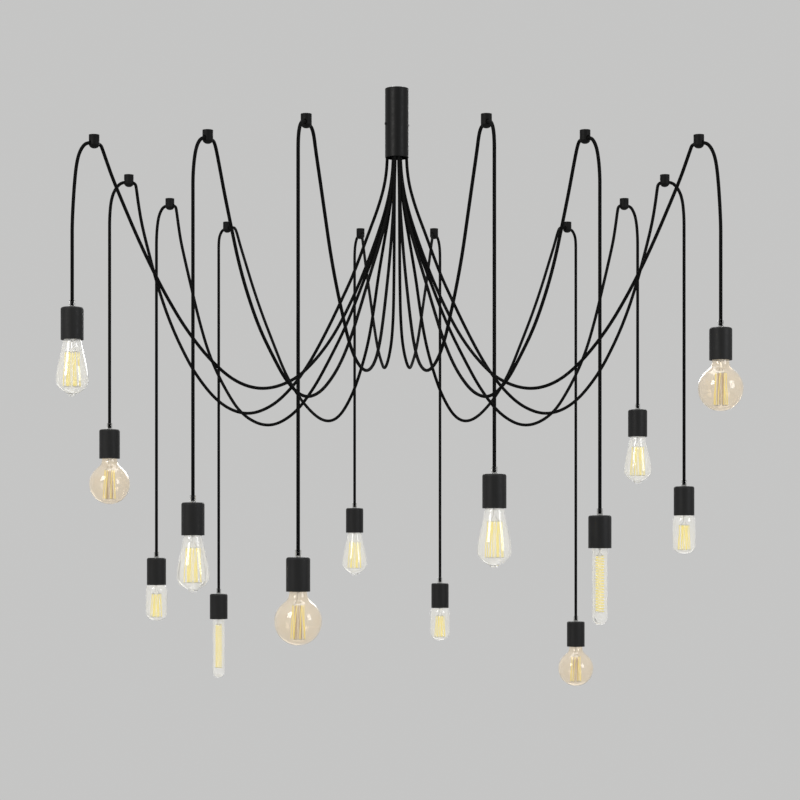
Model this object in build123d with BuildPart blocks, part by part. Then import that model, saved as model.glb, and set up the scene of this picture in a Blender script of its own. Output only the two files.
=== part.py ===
from build123d import *
import math
import os

# A pendant light with fourteen filament lamps. Every lamp hangs on its own textile cord,
# which leaves one small cylindrical canopy, sags in a long swag to its own ceiling hook and
# drops from there straight to a lampholder. All sizes are in millimetres, with +Z up.
# The origin is the centre of the canopy's ceiling face. -Y is the front, X runs to the right.
# Hooks, swags and drops lie in seven mirrored pairs, numbered from the front to the back.

os.makedirs("parts", exist_ok=True)

# Shared fits
fit_gap = 0.3  # between a cord and its hole, and between pieces that slide together
thread_gap = 0.1  # between a plain screw shank and its tapped hole
overrun = 1.0  # how far a cut runs past the face that it opens
half_turn = 180

# Cord
cord_d = 7.0
cord_hole_d = cord_d + 2 * fit_gap
arc_share = 0.45  # of the shorter run, taken by each corner's arc

# Canopy
cover_d = 53.0
cover_wall = 1.0
cover_length = 155.0
ceiling_gap = 0.5
rim_chamfer = 0.6
plate_thickness = 3.0
cord_plate_top = -72.0
cord_plate_thickness = 16.0
core_web = 8.0  # the part of the cord plate above the cords' ends
core_hole_d = 5.8
standoff_d = 6.0
standoff_span_x = 34.0
standoff_span_y = 24.0
ceiling_screw_hole_d = 4.2
ceiling_screw_span = 39.0
inlet_d = 8.0
inlet_y = 18.5
m3_d = 3.0
m3_head_d = 5.5
m3_head_h = 2.0
m3_key_d = 2.5
m3_key_depth = 1.2
side_screw_length = 6.0
side_screw_turn = 200.0  # degrees round from +X, to the left and a little to the front
puck_screw_grip = 8.0
block_x = 26.0
block_y = 27.0
block_h = 14.0
block_screw_x = 9.5
block_screw_y = 9.5
core_d = 1.6
core_offset = 0.85
core_draw_share = 0.55  # how far the cores draw together on their way up

# Ceiling hooks
hook_face = -208.0
hook_d = 21.0
hook_side = 20.0
hook_length = 26.5
bore_below_face = 16.0
bore_flare = 1.5
bore_z = hook_face - bore_below_face
stud_hole_d = 3.3
stud_hole_depth = 9.0
clamp_screw_d = 4.0
clamp_screw_length = 5.5
clamp_key_d = 2.0
clamp_key_depth = 2.0

# Lampholder, from the casing's top face down
casing_d = 45.0
casing_h = 64.0
casing_wall = 1.5
casing_round = 4.5
grip_d = 12.0
grip_h = 14.0
grip_seat = 3.0  # floor under the cord's end
grip_chamfer = 0.8
nipple_d = 10.0
nipple_length = 10.0
boss_d = 18.0
insert_top = 14.0
insert_floor = 24.0
insert_lip = 3.0  # from the insert's lower face to the casing's mouth
shell_h = 27.0
shell_wall = 0.8
mouth_d = 39.0  # of the flare below the threaded shell
mouth_flare_h = 9.0
tongue_d = 8.0
tongue_h = 1.5

# Screw cap of the bulbs
cap_d = 26.0
cap_ridge = 0.5
cap_turns = 5
cap_pitch = 3.6
cap_wall = 0.6
cap_skirt = 6.0
contact_d = 9.0
contact_h = 1.5
collar_d = 20.0
collar_h = 3.0
glass_wall = 0.8

# Glass of the bulbs. neck_shares holds the control points of one cubic curve after another,
# from the neck's top to the widest part, as (radius, way below the casing's mouth) in shares of
# the widest radius. The glass then runs straight. foot_shares goes on to the foot's end, and
# hollow_shares to the end of the hollow in it, as (radius, way below the straight) in shares of
# the widest radius and of foot_h. cage_* place the filament's wires on the stem.
neck_top_d = 23.0
neck_rise = 9.4  # of the neck's top above the casing's mouth
round_share = 0.5523  # handle of a cubic curve that stands for a quarter round
round_foot_shares = [(1, round_share), (round_share, 1), (0, 1)]
bulbs = {
    "pear": dict(wide_d=64.0, straight=2.0, foot_h=30.0,
                 neck_shares=[(0.45, -0.19), (0.59, 0.06), (0.61, 0.31), (0.69, 0.88),
                              (1, 1.81), (1, 2.5)],
                 foot_shares=[(1, 0.2), (0.84, 0.5), (0.31, 0.8), (0.25, 0.84), (0.25, 1),
                              (0, 1)],
                 hollow_shares=[(1, 0.2), (0.84, 0.5), (0.31, 0.8), (0.22, 0.84),
                                (0.12, 0.86), (0, 0.86)],
                 cage_r=13.0, cage_top=26.0, cage_length=66.0),
    "globe": dict(wide_d=89.0, straight=2.6, foot_h=44.5,
                  neck_shares=[(0.3, -0.15), (0.38, -0.09), (0.38, 0.04), (0.38, 0.27),
                               (0.47, 0.35), (0.63, 0.48), (0.86, 0.67), (1, 0.95),
                               (1, 1.2)],
                  foot_shares=round_foot_shares, hollow_shares=round_foot_shares,
                  cage_r=12.0, cage_top=26.0, cage_length=62.0),
    "short_tube": dict(wide_d=50.0, straight=52.0, foot_h=19.0,
                       neck_shares=[(0.54, -0.24), (0.7, -0.14), (0.81, 0), (0.94, 0.17),
                                    (1, 0.32), (1, 0.56)],
                       foot_shares=round_foot_shares, hollow_shares=round_foot_shares,
                       cage_r=12.0, cage_top=22.0, cage_length=53.0),
    "long_tube": dict(wide_d=30.0, straight=136.0, foot_h=15.0,
                      neck_shares=[(0.83, -0.47), (1, -0.37), (1, -0.07)],
                      foot_shares=round_foot_shares, hollow_shares=round_foot_shares,
                      cage_r=8.0, cage_top=15.0, cage_length=108.0),
}
stem_d = 4.2
stem_flare_d = 20.0
filament_d = 0.6
hub_d = 7.0
hub_h = 1.2
cage_wires = 10
cage_spokes = 5

# Pairs of cords. start is the cord's place in the cord plate, hook the centre of its ceiling
# hook, both in plan for the left side. bore_turn is the angle by which the hook's bore is turned
# outwards from the line between them. swag lists (way from the start, height) down to the sag
# and up again, hook_bend and drop_bend list (way along the bore, height over it).
pairs = {
    1: dict(
        start=(-5, -20.5), hook=(-170, -695), bore_turn=0,
        swag=[(0, -143), (2, -208), (10, -270), (27, -333), (47, -396), (73, -461), (100, -523),
              (131, -583), (177, -634), (246, -659), (324, -646), (389, -608), (435, -560),
              (483, -506), (527, -446), (563, -382), (602, -313)],
        hook_bend=[(-64, -40), (-51, -13), (-37, -2), (-19, 0), (0, 0)],
        drop_bend=[(0, 0), (22, 0), (42, -13), (53, -38)]),
    2: dict(
        start=(-6.5, -12.4), hook=(-370, -550), bore_turn=0,
        swag=[(0, -143), (4, -210), (20, -274), (53, -350), (98, -438), (132, -508), (160, -563),
              (192, -616), (231, -663), (282, -703), (338, -715), (395, -685), (445, -631),
              (488, -579), (526, -514), (554, -453), (577, -386), (599, -320)],
        hook_bend=[(-38, -56), (-28, -24), (-22, -8), (-15, 0), (0, 0)],
        drop_bend=[(0, 0), (16, 0), (30, -13), (39, -35), (45, -75)]),
    3: dict(
        start=(-7, -4.1), hook=(-600, -505), bore_turn=0,
        swag=[(0, -143), (6, -212), (25, -280), (59, -362), (98, -444), (139, -516), (177, -573),
              (227, -628), (281, -670), (356, -694), (427, -684), (493, -643), (557, -580),
              (605, -516), (645, -454), (677, -398), (706, -343)],
        hook_bend=[(-43, -66), (-28, -31), (-20, -12), (-14.5, 0), (0, 0)],
        drop_bend=[(0, 0), (15, 0), (29, -13), (39, -38), (45, -84), (50, -160)]),
    4: dict(
        start=(-20.6, 0), hook=(-590, -80), bore_turn=0,
        swag=[(0, -143), (4, -204), (20, -264), (47, -335), (76, -415), (106, -480), (138, -547),
              (176, -618), (214, -672), (260, -716), (316, -736), (374, -713), (427, -650),
              (465, -578), (492, -513), (514, -445), (532, -377)],
        hook_bend=[(-28, -92), (-20.5, -46), (-17, -18), (-14, 0), (0, 0)],
        drop_bend=[(0, 0), (14.5, 0), (28, -13), (38, -36), (42, -75)]),
    5: dict(
        start=(-6.5, 4.1), hook=(-535, 220), bore_turn=0,
        swag=[(0, -143), (4, -208), (16, -270), (42, -350), (82, -446), (118, -528), (158, -600),
              (199, -668), (250, -727), (314, -754), (381, -724), (426, -660), (465, -585),
              (492, -503), (516, -412), (535, -338)],
        hook_bend=[(-28, -80), (-21.5, -40), (-18, -15), (-14.5, 0), (0, 0)],
        drop_bend=[(0, 0), (14.5, 0), (25, -12), (32, -32), (36, -70)]),
    6: dict(
        start=(-6.5, 12.4), hook=(-430, 560), bore_turn=0,
        swag=[(0, -143), (4, -208), (17, -272), (38, -342), (59, -415), (74, -481), (94, -554),
              (121, -615), (159, -679), (215, -731), (279, -733), (358, -685), (430, -613),
              (485, -530), (534, -455), (576, -382), (608, -320)],
        hook_bend=[(-60, -50), (-46, -19), (-36, -3), (-22, 0), (0, 0)],
        drop_bend=[(0, 0), (18, 0), (32, -9), (40, -25)]),
    7: dict(
        start=(-5, 20.5), hook=(-95, 665), bore_turn=20,
        swag=[(0, -143), (2, -208), (5, -276), (8, -350), (12, -430), (24, -516), (66, -578),
              (168, -618), (246, -584), (306, -548), (379, -482), (436, -423), (500, -360),
              (555, -301), (593, -258), (618, -233)],
        hook_bend=[(-15, 0), (0, 0)],
        drop_bend=[(0, 0), (15, 0), (27, -13), (34, -36)]),
}

# Lamps: (side, pair) with the casing's top face below the hook's bore, and the bulb
lamps = {
    ("left", 1): (820, "globe"), ("right", 1): (665, "pear"),
    ("left", 2): (715, "pear"), ("right", 2): (740, "long_tube"),
    ("left", 3): (330, "pear"), ("right", 3): (370, "globe"),
    ("left", 4): (545, "globe"), ("right", 4): (670, "short_tube"),
    ("left", 5): (830, "short_tube"), ("right", 5): (480, "pear"),
    ("left", 6): (925, "long_tube"), ("right", 6): (995, "globe"),
    ("left", 7): (705, "pear"), ("right", 7): (900, "short_tube"),
}
side_sign = {"left": 1, "right": -1}

# Sizes that follow
cover_r = cover_d / 2
cover_inner_r = cover_r - cover_wall
plate_r = cover_inner_r - fit_gap
cord_plate_bottom = cord_plate_top - cord_plate_thickness
cord_top = cord_plate_top - core_web
block_bottom = -plate_thickness - block_h
side_screw_z = cord_plate_top - cord_plate_thickness / 2
casing_r = casing_d / 2
casing_inner_r = casing_r - casing_wall
shell_inner_r = cap_d / 2 + fit_gap
shell_outer_r = shell_inner_r + shell_wall
insert_bottom = casing_h - insert_lip
cap_top = insert_floor + tongue_h + fit_gap
thread_top = -cap_top - contact_h - collar_h
glass_top = thread_top - cap_turns * cap_pitch


def plan(side, x, y):
    """A place in plan of the left side, mirrored for the right one."""
    return side_sign[side] * x, y


def lead(side, pair):
    """Start, hook and unit direction in plan of one cord."""
    start = Vector(*plan(side, *pairs[pair]["start"]))
    hook = Vector(*plan(side, *pairs[pair]["hook"]))
    return start, hook, (hook - start).normalized()


def bore_line(side, pair):
    """Unit direction in plan of the hook's bore, away from the canopy."""
    start, hook, along = lead(side, pair)
    return along.rotate(Axis.Z, side_sign[side] * pairs[pair]["bore_turn"])


def swag_points(side, pair):
    """The route from the cord plate to the middle of the hook's bore."""
    start, hook, along = lead(side, pair)
    bore = bore_line(side, pair)
    first = [start + Vector(0, 0, cord_top)]
    middle = [start + along * way + Vector(0, 0, height) for way, height in pairs[pair]["swag"]]
    last = [hook + bore * way + Vector(0, 0, bore_z + height)
            for way, height in pairs[pair]["hook_bend"]]
    return first + middle + last


def drop_points(side, pair):
    """The route from the middle of the hook's bore down to the seat in the cord grip."""
    start, hook, along = lead(side, pair)
    bore = bore_line(side, pair)
    bend = [hook + bore * way + Vector(0, 0, bore_z + height)
            for way, height in pairs[pair]["drop_bend"]]
    seat = casing_top(side, pair) + grip_seat
    return bend + [Vector(bend[-1].X, bend[-1].Y, seat)]


def casing_top(side, pair):
    """Height of the casing's top face."""
    return bore_z - lamps[side, pair][0]


def lamp_place(side, pair):
    """Centre of the casing's top face."""
    foot = drop_points(side, pair)[-1]
    return Location((foot.X, foot.Y, casing_top(side, pair)))


def arc_radii(points):
    """One radius for each corner: a share of its shorter run, over the half turn's tangent."""
    radii = []
    for before, corner, after in zip(points, points[1:], points[2:]):
        run_in = corner - before
        run_out = after - corner
        half_angle = math.radians(run_in.get_angle(run_out)) / 2
        shorter = min(run_in.length, run_out.length)
        radii.append(arc_share * shorter / math.tan(half_angle))
    return radii


def cord_tube(points):
    """A round cord along straight runs joined by tangent arcs."""
    radii = arc_radii(points)
    with BuildPart() as tube:
        with BuildLine():
            route = FilletPolyline(points, radius=radii)
        with BuildSketch(Plane(origin=route @ 0, z_dir=route % 0)):
            Circle(cord_d / 2)
        sweep(path=route)
    section = math.pi * cord_d ** 2 / 4
    print(f"length {route.length:.1f}, volume over section times length "
          f"{tube.part.volume / (section * route.length):.4f}, radii",
          " ".join(f"{radius:.0f}" for radius in radii))
    return tube.part


def tube_ring(outer_r, inner_r, top, height):
    """A plain ring about Z from the height top downwards."""
    with BuildPart() as ring:
        with BuildSketch(Plane.XY.offset(top - height)):
            Circle(outer_r)
            if inner_r:
                Circle(inner_r, mode=Mode.SUBTRACT)
        extrude(amount=height)
    return ring.part


def screw(shank_d, shank_length, head_d, head_h, key_d, key_depth):
    """A socket screw along Z, its head above the origin and its shank below."""
    with BuildPart() as body:
        with BuildSketch(Plane.XY):
            Circle(head_d / 2)
        extrude(amount=head_h)
        with BuildSketch(Plane.XY):
            Circle(shank_d / 2)
        extrude(amount=-shank_length)
        with BuildSketch(Plane.XY.offset(head_h)):
            RegularPolygon(key_d / 2, 6)
        extrude(amount=-key_depth, mode=Mode.SUBTRACT)
    return body.part


def group(name, pieces):
    """Separate solids that make one node."""
    node = Compound(label=name, children=list(pieces))
    export_step(node, f"parts/{name}.step")
    return node


def cord_places():
    """The fourteen places in plan of the cords in the cord plate."""
    return [plan(side, *pairs[pair]["start"]) for side, pair in lamps]


def ring_spots(spots, height):
    """Locations at one height over places in plan."""
    return [(x, y, height) for x, y in spots]


# Ceiling plate: the disc that is screwed to the ceiling
with BuildPart() as ceiling_plate:
    with BuildSketch(Plane.XY.offset(-plate_thickness)):
        Circle(plate_r)
        with GridLocations(ceiling_screw_span, 0, 2, 1):
            Circle(ceiling_screw_hole_d / 2, mode=Mode.SUBTRACT)
        with GridLocations(standoff_span_x, standoff_span_y, 2, 2):
            Circle(m3_d / 2 + thread_gap, mode=Mode.SUBTRACT)
        with Locations((block_screw_x, block_screw_y), (-block_screw_x, -block_screw_y)):
            Circle(m3_d / 2 + thread_gap, mode=Mode.SUBTRACT)
        with Locations((0, inlet_y)):
            Circle(inlet_d / 2, mode=Mode.SUBTRACT)
    extrude(amount=plate_thickness)
ceiling_plate.part.label = "ceiling_plate"
export_step(ceiling_plate.part, "parts/ceiling_plate.step")

# Cord plate: a thick puck with a seat for each cord and a hole for its cores
with BuildPart() as cord_plate:
    with BuildSketch(Plane.XY.offset(cord_plate_bottom)):
        Circle(plate_r)
        with GridLocations(standoff_span_x, standoff_span_y, 2, 2):
            Circle(m3_d / 2 + thread_gap, mode=Mode.SUBTRACT)
        with Locations(cord_places()):
            Circle(core_hole_d / 2, mode=Mode.SUBTRACT)
    extrude(amount=cord_plate_thickness)
    with BuildSketch(Plane.XY.offset(cord_plate_bottom)):
        with Locations(cord_places()):
            Circle(cord_hole_d / 2)
    extrude(amount=cord_plate_thickness - core_web, mode=Mode.SUBTRACT)
    for turn in (side_screw_turn, side_screw_turn - half_turn):
        outward = Vector(math.cos(math.radians(turn)), math.sin(math.radians(turn)), 0)
        with BuildSketch(Plane(origin=outward * cover_r + Vector(0, 0, side_screw_z), z_dir=outward)):
            Circle(m3_d / 2 + thread_gap)
        extrude(amount=-side_screw_length - fit_gap, mode=Mode.SUBTRACT)
cord_plate.part.label = "cord_plate"
export_step(cord_plate.part, "parts/cord_plate.step")

# Canopy cover: a thin tube over both plates, open at the bottom
with BuildPart() as canopy_cover:
    with BuildSketch(Plane.XY.offset(-cover_length)):
        Circle(cover_r)
        Circle(cover_inner_r, mode=Mode.SUBTRACT)
    extrude(amount=cover_length - ceiling_gap)
    chamfer(canopy_cover.edges().filter_by(GeomType.CIRCLE).group_by(Axis.Z)[0].sort_by(SortBy.RADIUS)[-1],
            length=rim_chamfer)
    for turn in (side_screw_turn, side_screw_turn - half_turn):
        outward = Vector(math.cos(math.radians(turn)), math.sin(math.radians(turn)), 0)
        with BuildSketch(Plane(origin=Vector(0, 0, side_screw_z), z_dir=outward)):
            Circle(m3_d / 2 + fit_gap)
        extrude(amount=cover_r + overrun, mode=Mode.SUBTRACT)
canopy_cover.part.label = "canopy_cover"
export_step(canopy_cover.part, "parts/canopy_cover.step")

# Stand-offs: four rods that carry the cord plate, each with a stud in the ceiling plate
with BuildPart() as standoff:
    with BuildSketch(Plane.XY.offset(cord_plate_top)):
        RegularPolygon(standoff_d / 2, 6)
        Circle(m3_d / 2 + thread_gap, mode=Mode.SUBTRACT)
    extrude(amount=-cord_plate_top - plate_thickness - m3_d)
    with BuildSketch(Plane.XY.offset(-plate_thickness - m3_d)):
        RegularPolygon(standoff_d / 2, 6)
    extrude(amount=m3_d)
    with BuildSketch(Plane.XY.offset(-plate_thickness)):
        Circle(m3_d / 2)
    extrude(amount=plate_thickness - fit_gap)
standoff_places = GridLocations(standoff_span_x, standoff_span_y, 2, 2).locations
group("standoffs", [standoff.part.moved(place) for place in standoff_places])

# Screws under the cord plate, at the cover's side and under the terminal block
puck_screw = screw(m3_d, cord_plate_thickness + puck_screw_grip, m3_head_d, m3_head_h,
                   m3_key_d, m3_key_depth)
upside_down = Location((0, 0, cord_plate_bottom), (half_turn, 0, 0))
group("cord_plate_screws", [puck_screw.moved(place * upside_down) for place in standoff_places])

side_screw = screw(m3_d, side_screw_length, m3_head_d, m3_head_h, m3_key_d, m3_key_depth)
side_places = [
    Plane(origin=(cover_r * math.cos(math.radians(turn)), cover_r * math.sin(math.radians(turn)),
                  side_screw_z),
          z_dir=(math.cos(math.radians(turn)), math.sin(math.radians(turn)), 0)).location
    for turn in (side_screw_turn, side_screw_turn - half_turn)
]
group("cover_screws", [side_screw.moved(place) for place in side_places])

# Terminal block under the ceiling plate, held by two screws with sunk heads
with BuildPart() as terminal_block:
    with BuildSketch(Plane.XY.offset(block_bottom)):
        Rectangle(block_x, block_y)
        with Locations((block_screw_x, block_screw_y), (-block_screw_x, -block_screw_y)):
            Circle(m3_d / 2 + fit_gap, mode=Mode.SUBTRACT)
    extrude(amount=block_h)
    with BuildSketch(Plane.XY.offset(block_bottom)):
        with Locations((block_screw_x, block_screw_y), (-block_screw_x, -block_screw_y)):
            Circle(m3_head_d / 2 + fit_gap)
    extrude(amount=m3_head_h, mode=Mode.SUBTRACT)
terminal_block.part.label = "terminal_block"
export_step(terminal_block.part, "parts/terminal_block.step")

block_screw = screw(m3_d, block_h - m3_head_h + plate_thickness - fit_gap, m3_head_d, m3_head_h,
                    m3_key_d, m3_key_depth)
block_screw_places = [
    Location((x, y, block_bottom + m3_head_h), (half_turn, 0, 0))
    for x, y in ((block_screw_x, block_screw_y), (-block_screw_x, -block_screw_y))
]
group("terminal_screws", [block_screw.moved(place) for place in block_screw_places])

# Two cores of each cord, from the cord's end up to the terminal block
with BuildPart() as core_wires:
    for x, y in cord_places():
        for offset_x in (-core_offset, core_offset):
            foot = Vector(x + offset_x, y, cord_top + fit_gap)
            head = Vector(x * core_draw_share + offset_x, y * core_draw_share, block_bottom - fit_gap)
            with BuildSketch(Plane(origin=foot, z_dir=head - foot)):
                Circle(core_d / 2)
            extrude(amount=(head - foot).length)
core_wires.part.label = "core_wires"
export_step(core_wires.part, "parts/core_wires.step")

# Ceiling hooks: turned plugs with a domed foot, a cross bore for the cord, a tapped hole for
# the ceiling stud and a tapped hole for the clamp screw
with BuildPart() as hook_blank:
    with BuildSketch(Plane.XZ):
        with BuildLine():
            Polyline((0, -hook_length), (0, 0), (hook_d / 2, 0), (hook_d / 2, -hook_side))
            ThreePointArc((hook_d / 2, -hook_side),
                          (hook_d / 2 * math.sin(math.pi / 4),
                           -hook_side - (hook_length - hook_side) * math.sin(math.pi / 4)),
                          (0, -hook_length))
        make_face()
    revolve(axis=Axis.Z)
    with BuildSketch(Plane.XY):
        Circle(stud_hole_d / 2)
    extrude(amount=-stud_hole_depth, mode=Mode.SUBTRACT)
    with BuildSketch(Plane.XY.offset(-hook_length - overrun)):
        Circle(clamp_screw_d / 2 + thread_gap)
    extrude(amount=hook_length + overrun - bore_below_face, mode=Mode.SUBTRACT)
    with BuildSketch(Plane.YZ.offset(-hook_d)):
        with Locations((0, -bore_below_face)):
            Circle(cord_hole_d / 2)
    extrude(amount=2 * hook_d, mode=Mode.SUBTRACT)
    for end in (-hook_d / 2, hook_d / 2):
        foot = end - math.copysign(bore_flare, end)
        with BuildSketch(Plane.XZ):
            with BuildLine():
                Polyline((foot, -bore_below_face),
                         (foot, -bore_below_face + cord_hole_d / 2),
                         (end, -bore_below_face + cord_hole_d / 2 + bore_flare),
                         (end, -bore_below_face), close=True)
            make_face()
        revolve(axis=Axis((0, 0, -bore_below_face), (1, 0, 0)), mode=Mode.SUBTRACT)

with BuildPart() as clamp_screw:
    with BuildSketch(Plane.XY.offset(-bore_below_face - cord_d / 2 - fit_gap)):
        Circle(clamp_screw_d / 2)
    extrude(amount=-clamp_screw_length)
    with BuildSketch(Plane.XY.offset(-bore_below_face - cord_d / 2 - fit_gap - clamp_screw_length)):
        RegularPolygon(clamp_key_d / 2, 6)
    extrude(amount=clamp_key_depth, mode=Mode.SUBTRACT)

hook_places = []
for side, pair in lamps:
    start, hook, along = lead(side, pair)
    bore = bore_line(side, pair)
    turn = math.degrees(math.atan2(bore.Y, bore.X))
    hook_places.append(Location((hook.X, hook.Y, hook_face), (0, 0, turn)))
group("hook_bodies", [hook_blank.part.moved(place) for place in hook_places])
group("hook_clamp_screws", [clamp_screw.part.moved(place) for place in hook_places])

# Lampholder: casing, insulating insert, threaded shell, contact tongue and cord grip
with BuildPart() as casing:
    with BuildSketch(Plane.XY.offset(-casing_h)):
        Circle(casing_r)
    extrude(amount=casing_h)
    fillet(casing.faces().sort_by(Axis.Z)[-1].edges(), radius=casing_round)
    with BuildSketch(Plane.XY.offset(-casing_h)):
        Circle(casing_inner_r)
    extrude(amount=casing_h - casing_round, mode=Mode.SUBTRACT)
    with BuildSketch(Plane.XY.offset(-casing_round)):
        Circle(casing_inner_r - casing_round + casing_wall)
    extrude(amount=casing_round - casing_wall, mode=Mode.SUBTRACT)
    with BuildSketch(Plane.XY):
        Circle(nipple_d / 2 + fit_gap)
    extrude(amount=-casing_wall, mode=Mode.SUBTRACT)

with BuildPart() as insert:
    with BuildSketch(Plane.XY.offset(-insert_bottom)):
        Circle(casing_inner_r - fit_gap)
    extrude(amount=insert_bottom - insert_top)
    with BuildSketch(Plane.XY.offset(-insert_top)):
        Circle(boss_d / 2)
    extrude(amount=insert_top - casing_wall)
    with BuildSketch(Plane.XY.offset(-insert_bottom)):
        Circle(shell_outer_r + thread_gap)
    extrude(amount=insert_bottom - insert_floor, mode=Mode.SUBTRACT)
    with BuildSketch(Plane.XY.offset(-insert_bottom)):
        Circle(mouth_d / 2)
    with BuildSketch(Plane.XY.offset(-insert_bottom + mouth_flare_h)):
        Circle(shell_outer_r + thread_gap)
    loft(mode=Mode.SUBTRACT)
    with BuildSketch(Plane.XY.offset(-casing_wall)):
        Circle(nipple_d / 2 + thread_gap)
    extrude(amount=-nipple_length - fit_gap, mode=Mode.SUBTRACT)
    with BuildSketch(Plane.XY.offset(-insert_floor)):
        Circle(core_hole_d / 2)
    extrude(amount=insert_floor - insert_top, mode=Mode.SUBTRACT)


def ridged_ring(outer_r, inner_r, ridge, top, height, turns):
    """A thin ring about Z, pressed out in ridges that are ridge high."""
    step = height / turns
    with BuildPart() as ring:
        with BuildSketch(Plane.XZ):
            with BuildLine():
                outside = []
                inside = []
                for turn in range(turns):
                    upper = top - turn * step
                    outside += [(outer_r, upper), (outer_r + ridge, upper - step / 2)]
                    inside += [(inner_r, upper), (inner_r + ridge, upper - step / 2)]
                outside.append((outer_r, top - height))
                inside.append((inner_r, top - height))
                Polyline(*outside, *reversed(inside), close=True)
            make_face()
        revolve(axis=Axis.Z)
    return ring.part


shell = tube_ring(shell_outer_r, shell_inner_r, -insert_floor, shell_h)
tongue = tube_ring(tongue_d / 2, 0, -insert_floor, tongue_h)

with BuildPart() as grip:
    with BuildSketch(Plane.XY):
        Circle(grip_d / 2)
    extrude(amount=grip_h)
    chamfer(grip.faces().sort_by(Axis.Z)[-1].edges(), length=grip_chamfer)
    with BuildSketch(Plane.XY):
        Circle(nipple_d / 2)
    extrude(amount=-casing_wall - nipple_length)
    with BuildSketch(Plane.XY.offset(-casing_wall - nipple_length)):
        Circle(core_hole_d / 2)
    extrude(amount=casing_wall + nipple_length + grip_seat, mode=Mode.SUBTRACT)
    with BuildSketch(Plane.XY.offset(grip_seat)):
        Circle(cord_hole_d / 2)
    extrude(amount=grip_h - grip_seat, mode=Mode.SUBTRACT)

holder_pieces = [casing.part, insert.part, shell, tongue, grip.part]


def glass_body(kind, wall):
    """The glass of a bulb as a solid of revolution, or the hollow a wall within it."""
    size = bulbs[kind]
    half = size["wide_d"] / 2
    wide_r = half - wall
    foot_h = size["foot_h"] - wall
    neck = [(neck_top_d / 2 - wall, -casing_h + neck_rise)]
    neck += [(radius * half - wall, -casing_h - way * half)
             for radius, way in size["neck_shares"]]
    foot = [(wide_r, neck[-1][1] - size["straight"])]
    foot += [(radius * wide_r, foot[0][1] - way * foot_h)
             for radius, way in size["hollow_shares" if wall else "foot_shares"]]
    with BuildPart() as body:
        with BuildSketch(Plane.XZ):
            with BuildLine():
                Polyline(foot[-1], (0, glass_top - wall),
                         (neck_top_d / 2 - wall, glass_top - wall), neck[0])
                for line in (neck, foot):
                    for knot in range(0, len(line) - 1, 3):
                        Bezier(*line[knot:knot + 4])
                Line(neck[-1], foot[0])
            make_face()
        revolve(axis=Axis.Z)
    return body.part


def glass_shell(kind):
    """The blown glass of a bulb."""
    with BuildPart() as blown:
        add(glass_body(kind, 0))
        add(glass_body(kind, glass_wall), mode=Mode.SUBTRACT)
    return blown.part


def stem(kind):
    """The glass stem that carries the filament, flared where it is sealed to the neck."""
    size = bulbs[kind]
    top = glass_top - glass_wall
    foot = -casing_h - size["cage_top"] - size["cage_length"] - hub_h
    with BuildPart() as rod:
        with BuildSketch(Plane.XZ):
            with BuildLine():
                Polyline((0, foot), (0, top), (stem_flare_d / 2, top),
                         (stem_flare_d / 2, top - glass_wall),
                         (stem_d / 2, top - stem_flare_d),
                         (stem_d / 2, foot), close=True)
            make_face()
        revolve(axis=Axis.Z)
    return rod.part


def filament(kind):
    """A cage of upright wires between two spoked rings on the stem."""
    size = bulbs[kind]
    top = -casing_h - size["cage_top"]
    low = top - size["cage_length"]
    spoke_length = size["cage_r"] - hub_d / 2
    with BuildPart() as cage:
        for height in (top, low):
            with BuildSketch(Plane.XY.offset(height - hub_h / 2)):
                Circle(hub_d / 2)
                Circle(stem_d / 2 + thread_gap, mode=Mode.SUBTRACT)
            extrude(amount=hub_h)
            with BuildSketch(Plane.XY.offset(height - filament_d / 2)):
                Circle(size["cage_r"] + filament_d / 2)
                Circle(size["cage_r"] - filament_d / 2, mode=Mode.SUBTRACT)
                with PolarLocations(hub_d / 2 + spoke_length / 2, cage_spokes):
                    Rectangle(spoke_length + filament_d, filament_d)
            extrude(amount=filament_d)
        with BuildSketch(Plane.XY.offset(low)):
            with PolarLocations(size["cage_r"], cage_wires):
                Rectangle(filament_d, filament_d)
        extrude(amount=size["cage_length"])
    return cage.part


# Screw cap: ridged shell with a plain skirt, insulating collar and centre contact
with BuildPart() as cap:
    add(ridged_ring(cap_d / 2 - cap_ridge, cap_d / 2 - cap_ridge - cap_wall, cap_ridge,
                    thread_top, cap_turns * cap_pitch, cap_turns))
    add(tube_ring(cap_d / 2 - cap_ridge, cap_d / 2 - cap_ridge - cap_wall, glass_top, cap_skirt))

with BuildPart() as collar:
    with BuildSketch(Plane.XY.offset(thread_top)):
        Circle(cap_d / 2 - cap_ridge)
    with BuildSketch(Plane.XY.offset(thread_top + collar_h)):
        Circle(collar_d / 4)
    loft()

contact = tube_ring(contact_d / 2, 0, -cap_top, contact_h)

bulb_pieces = {
    kind: [glass_shell(kind), stem(kind), filament(kind), cap.part, collar.part, contact]
    for kind in bulbs
}

# Lamps: each has its drop cord, its lampholder and its bulb
for side, pair in lamps:
    place = lamp_place(side, pair)
    kind = lamps[side, pair][1]
    drop = cord_tube(drop_points(side, pair))
    drop.label = f"drop_cord_{side}_{pair}"
    export_step(drop, f"parts/{drop.label}.step")
    group(f"lampholder_{side}_{pair}", [piece.moved(place) for piece in holder_pieces])
    group(f"bulb_{side}_{pair}", [piece.moved(place) for piece in bulb_pieces[kind]])

# Swags: the two mirrored cords of each pair
for pair in pairs:
    group(f"swag_cords_{pair}", [cord_tube(swag_points(side, pair)) for side in side_sign])
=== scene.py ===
import math

import bmesh
import bpy
from mathutils import Matrix, Vector
from mathutils.geometry import interpolate_bezier


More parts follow.
